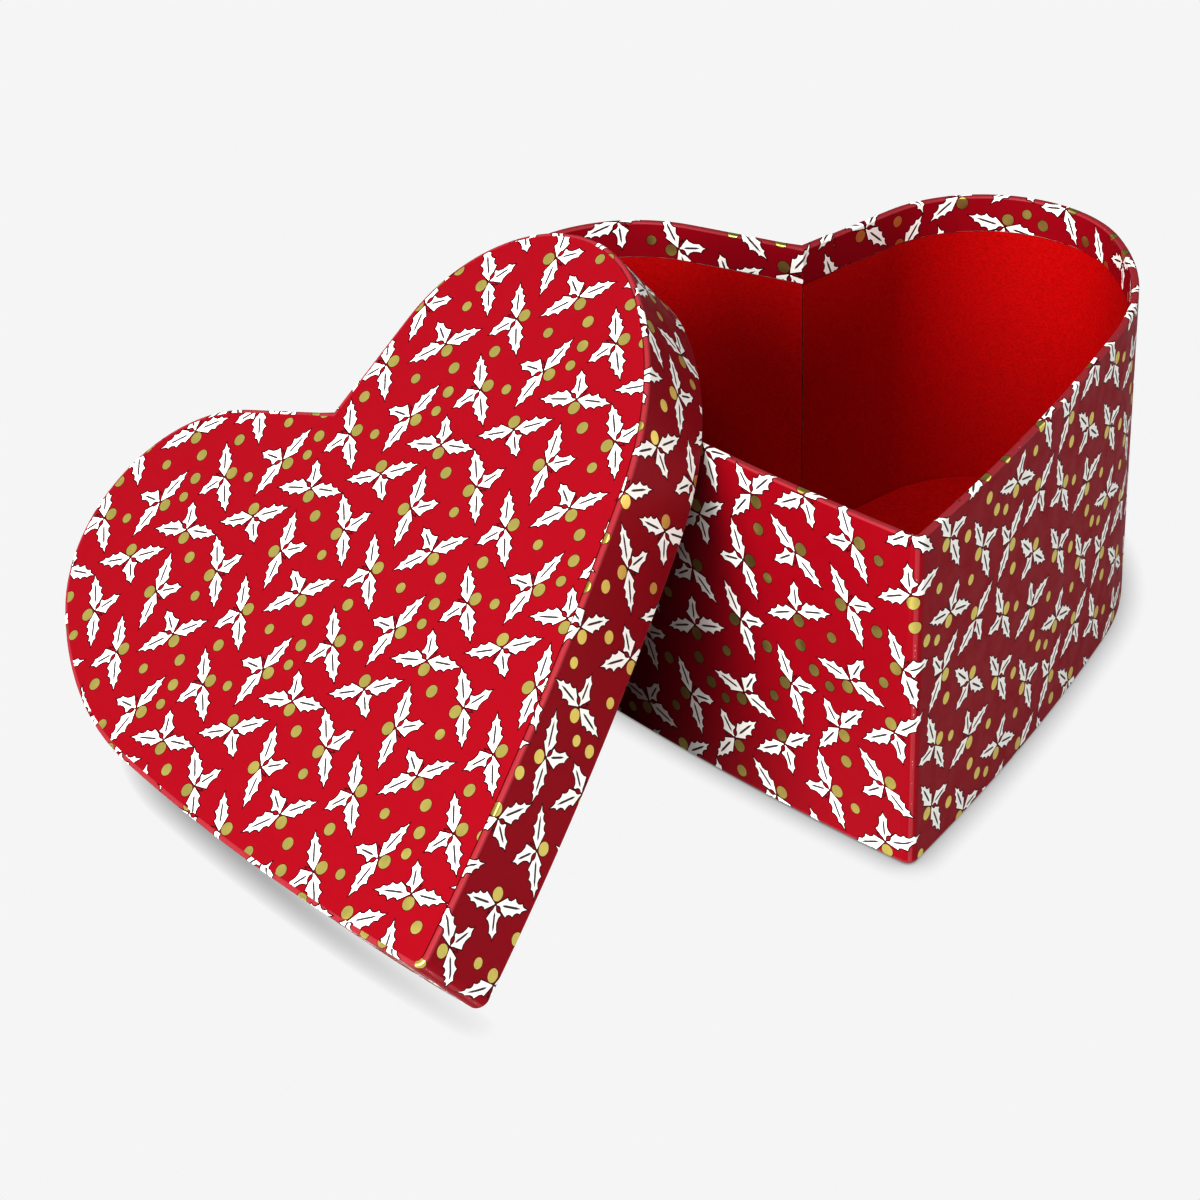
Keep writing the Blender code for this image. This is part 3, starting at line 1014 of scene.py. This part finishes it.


# ---------------------------------------------------------------- the studio


# The pale backdrop as the camera sees it, and the reach and depth of its painted contact shadows
BACKDROP = (0.938, 0.938, 0.938)
CONTACT_REACH = 0.0085
CONTACT_DEPTH = 0.55
FLOOR_HALF = 6
FLOOR_DROP = 0.0001
FLOOR_GREY = (0.5, 0.5, 0.5)
WORLD_GREY = (0.17, 0.17, 0.17)
LIGHT_AIM = Vector((-0.03, 0, 0.06))
VIEW_GAMMA = 0.7


def build_floor():
    """A matt floor that lights the box from below. The camera sees it as an even sweep of glowing
    backdrop, with painted contact shadows where ambient occlusion darkens it.
    """
    mesh = bpy.data.meshes.new("floor")
    signs = ((-1, -1), (1, -1), (1, 1), (-1, 1))
    corners = [(x * FLOOR_HALF, y * FLOOR_HALF, -FLOOR_DROP) for x, y in signs]
    mesh.from_pydata(corners, [], [(0, 1, 2, 3)])
    floor = bpy.data.objects.new("floor", mesh)
    bpy.context.scene.collection.objects.link(floor)
    surface = Surface("pale_floor", FLOOR_GREY, 0.9, specular=0.1)
    mesh.materials.append(surface.material)
    nodes, links = surface.nodes, surface.links
    # Painted contact shadows: ambient occlusion darkens the glow that the camera sees
    near = nodes.new("ShaderNodeAmbientOcclusion")
    near.inputs["Distance"].default_value = CONTACT_REACH
    near.samples = 16
    depth = nodes.new("ShaderNodeMath")
    depth.operation = "POWER"
    depth.inputs[1].default_value = CONTACT_DEPTH
    links.new(near.outputs["AO"], depth.inputs[0])
    glow = nodes.new("ShaderNodeEmission")
    glow.inputs["Color"].default_value = (*BACKDROP, 1)
    links.new(depth.outputs[0], glow.inputs["Strength"])
    path = nodes.new("ShaderNodeLightPath")
    mix = nodes.new("ShaderNodeMixShader")
    links.new(path.outputs["Is Camera Ray"], mix.inputs[0])
    links.new(surface.shader.outputs[0], mix.inputs[1])
    links.new(glow.outputs[0], mix.inputs[2])
    links.new(mix.outputs[0], nodes["Material Output"].inputs["Surface"])


def add_light(name, azimuth, elevation, distance, size, power):
    """A square soft box that faces the box. Azimuth 0 is in front, and positive is to the right."""
    lamp = bpy.data.lights.new(name, "AREA")
    lamp.shape = "SQUARE"
    lamp.size = size
    lamp.energy = power
    light = bpy.data.objects.new(name, lamp)
    a, e = math.radians(azimuth), math.radians(elevation)
    way = Vector((math.sin(a) * math.cos(e), -math.cos(a) * math.cos(e), math.sin(e)))
    light.location = LIGHT_AIM + way * distance
    light.rotation_euler = way.to_track_quat("Z", "Y").to_euler()
    bpy.context.scene.collection.objects.link(light)


def build_lights():
    add_light("key", -43, 26, 2.6, 1.3, 127)
    add_light("front", -14, 48, 2.2, 0.6, 34)
    add_light("overhead", 0, 80, 2.2, 1.0, 8)
    add_light("card", -120, 36, 2.4, 1.6, 6.5)
    add_light("fill", 85, 8, 1.6, 1.0, 16)
    world = bpy.data.worlds.new("studio")
    bpy.context.scene.world = world
    world.use_nodes = True
    nodes, links = world.node_tree.nodes, world.node_tree.links
    background = nodes["Background"]
    background.inputs["Color"].default_value = (*WORLD_GREY, 1)
    seen = nodes.new("ShaderNodeBackground")
    seen.inputs["Color"].default_value = (*BACKDROP, 1)
    path = nodes.new("ShaderNodeLightPath")
    mix = nodes.new("ShaderNodeMixShader")
    links.new(path.outputs["Is Camera Ray"], mix.inputs[0])
    links.new(background.outputs[0], mix.inputs[1])
    links.new(seen.outputs[0], mix.inputs[2])
    links.new(mix.outputs[0], nodes["World Output"].inputs["Surface"])
    bpy.context.scene.view_settings.view_transform = "Standard"
    bpy.context.scene.view_settings.gamma = VIEW_GAMMA


# The camera's view: azimuth and elevation of its line of sight, distance, lens, roll and aim
VIEW_AZIMUTH = math.radians(6.08)
VIEW_ELEVATION = math.radians(31.18)
VIEW_DISTANCE = 1.104
VIEW_LENS = 106.35
VIEW_ROLL = math.radians(-1.65)
VIEW_ASIDE = -0.07493
VIEW_ABOVE = 0.02311


def build_camera():
    ahead = Vector(
        (
            math.sin(VIEW_AZIMUTH) * math.cos(VIEW_ELEVATION),
            math.cos(VIEW_AZIMUTH) * math.cos(VIEW_ELEVATION),
            -math.sin(VIEW_ELEVATION),
        )
    )
    aside = Vector((math.cos(VIEW_AZIMUTH), -math.sin(VIEW_AZIMUTH), 0))
    above = aside.cross(ahead)
    turn = Matrix.Rotation(-VIEW_ROLL, 4, ahead)
    axes = [turn @ axis for axis in (aside, above, -ahead)]
    place = -VIEW_DISTANCE * ahead + VIEW_ASIDE * aside + VIEW_ABOVE * above
    data = bpy.data.cameras.new("camera")
    data.lens = VIEW_LENS
    camera = bpy.data.objects.new("camera", data)
    camera.matrix_world = Matrix.Translation(place) @ Matrix(axes).transposed().to_4x4()
    bpy.context.scene.collection.objects.link(camera)
    bpy.context.scene.camera = camera


build_camera()
build_floor()
build_lights()
LOOK = make_looks()
REPEAT = Repeat(PRINT_SEED)
build_base(LOOK, REPEAT)
build_lid(LOOK, REPEAT)
dress_nodes(LOOK)
